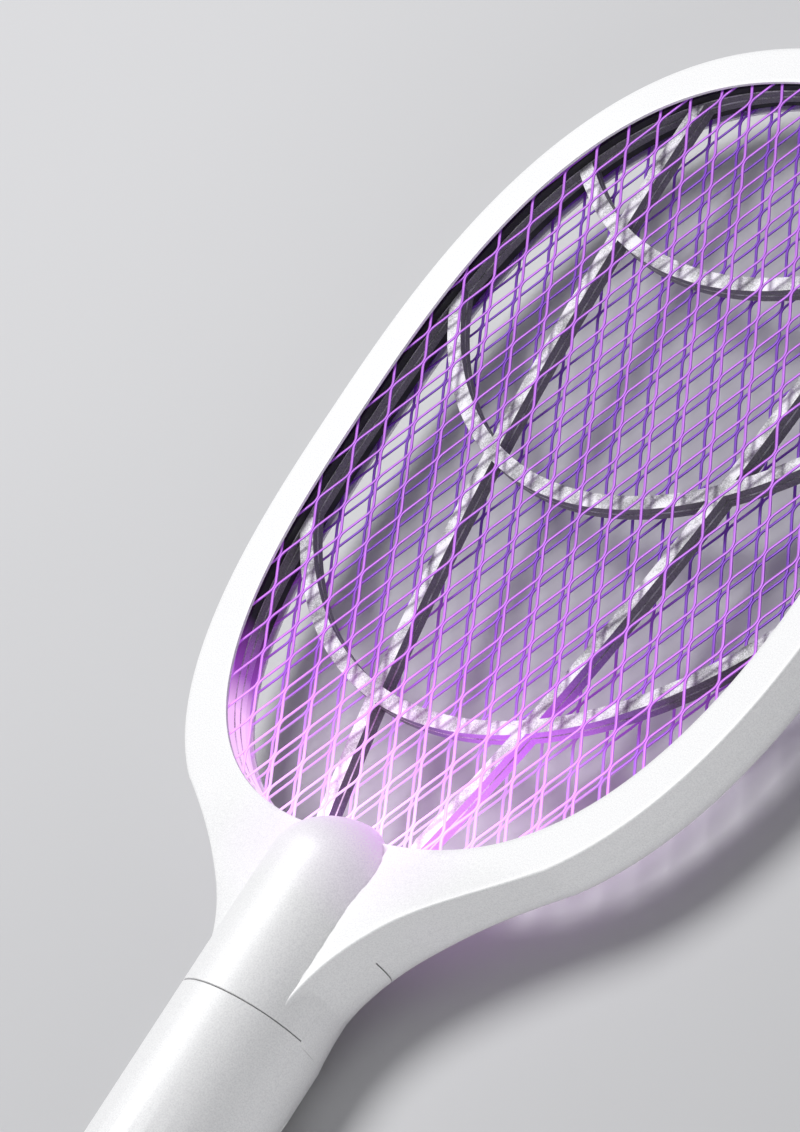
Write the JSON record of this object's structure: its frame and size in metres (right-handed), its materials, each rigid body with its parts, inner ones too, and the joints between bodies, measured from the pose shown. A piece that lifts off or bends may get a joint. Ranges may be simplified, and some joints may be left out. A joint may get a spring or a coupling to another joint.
{
  "type": "electric fly swatter",
  "caption": "Racket-shaped electric fly swatter: mesh grids in an oval frame with bowed ribs, a lure lamp under a neck hump, and a fluted handle with push button and slide switch.",
  "frame": {"origin": "middle of the object's length and width, at the back of the handle, which it lies on", "axes": "+X across the head, +Y from the handle's end towards the head's top, +Z out of the front face"},
  "size_m": [0.2128, 0.49, 0.0402],
  "materials": {
    "shell_plastic": "satin, very fine grain",
    "holder_plastic": "matt black",
    "rib_plastic": "satin light grey",
    "mesh_aluminium": "expanded sheet, lit violet by the lamp",
    "lens_plastic": "clear, slightly frosted",
    "lamp_led": "clear violet",
    "circuit_board": "green solder mask",
    "ferrite": "dark grey ceramic",
    "copper_winding": "enamelled copper wire",
    "capacitor_dip": "red-brown dip",
    "component_black": "moulded black",
    "resistor_coat": "beige coat",
    "control_plastic": "satin light grey",
    "plunger_plastic": "white",
    "switch_steel": "tinned steel",
    "status_led": "clear green",
    "light_pipe": "clear",
    "cell_sleeve": "blue shrink sleeve",
    "nickel_strip": "nickel strip",
    "screw_steel": "zinc-plated steel",
    "wire_red": "insulated wire",
    "wire_black": "insulated wire",
    "wire_white": "insulated wire",
    "wire_grey": "insulated wire"
  },
  "bodies": {
    "swatter": {"front_head_shell": "shell_plastic", "rear_head_shell": "shell_plastic", "front_handle_shell": "shell_plastic", "rear_handle_shell": "shell_plastic", "front_mesh_holder": "holder_plastic", "rear_mesh_holder": "holder_plastic", "front_rib_grid": "rib_plastic", "rear_rib_grid": "rib_plastic", "front_mesh": "mesh_aluminium", "rear_mesh": "mesh_aluminium", "lamp_lens": "lens_plastic", "lamp_board": "circuit_board", "uv_leds": "lamp_led", "main_board": "circuit_board", "transformer_core": "ferrite", "transformer_winding": "copper_winding", "high_voltage_capacitor": "capacitor_dip", "multiplier_diodes": "component_black", "bleed_resistors": "resistor_coat", "push_switch_body": "component_black", "slide_switch_body": "switch_steel", "status_led": "status_led", "status_light_pipe": "light_pipe", "battery_cell": "cell_sleeve", "battery_tabs": "nickel_strip", "charge_board": "circuit_board", "charge_socket": "switch_steel", "board_screws": "screw_steel", "head_screws": "screw_steel", "handle_screws": "screw_steel", "front_mesh_lead": "wire_red", "rear_mesh_lead": "wire_black", "lamp_leads": "wire_white", "battery_leads": "wire_red", "charge_leads": "wire_grey"},
    "button": {"zap_button": "control_plastic"},
    "plunger": {"push_switch_plunger": "plunger_plastic"},
    "mode_slider": {"mode_knob": "control_plastic", "slide_switch_lever": "component_black"}
  },
  "joints": [
    {"name": "button_press", "type": "slide", "parent": "swatter", "child": "button", "axis": [0, 0, -1], "range_m": [0, 0.0015], "stiffness_N_per_m": 800, "springref_m": -0.001},
    {"name": "plunger_travel", "type": "slide", "parent": "swatter", "child": "plunger", "axis": [0, 0, -1], "range_m": [0, 0.0015]},
    {"name": "mode_slide", "type": "slide", "parent": "swatter", "child": "mode_slider", "axis": [0, 1, 0], "range_m": [0, 0.004]}
  ],
  "couplings": [
    {"joint": "plunger_travel", "follows": "button_press", "ratio": 1}
  ]
}
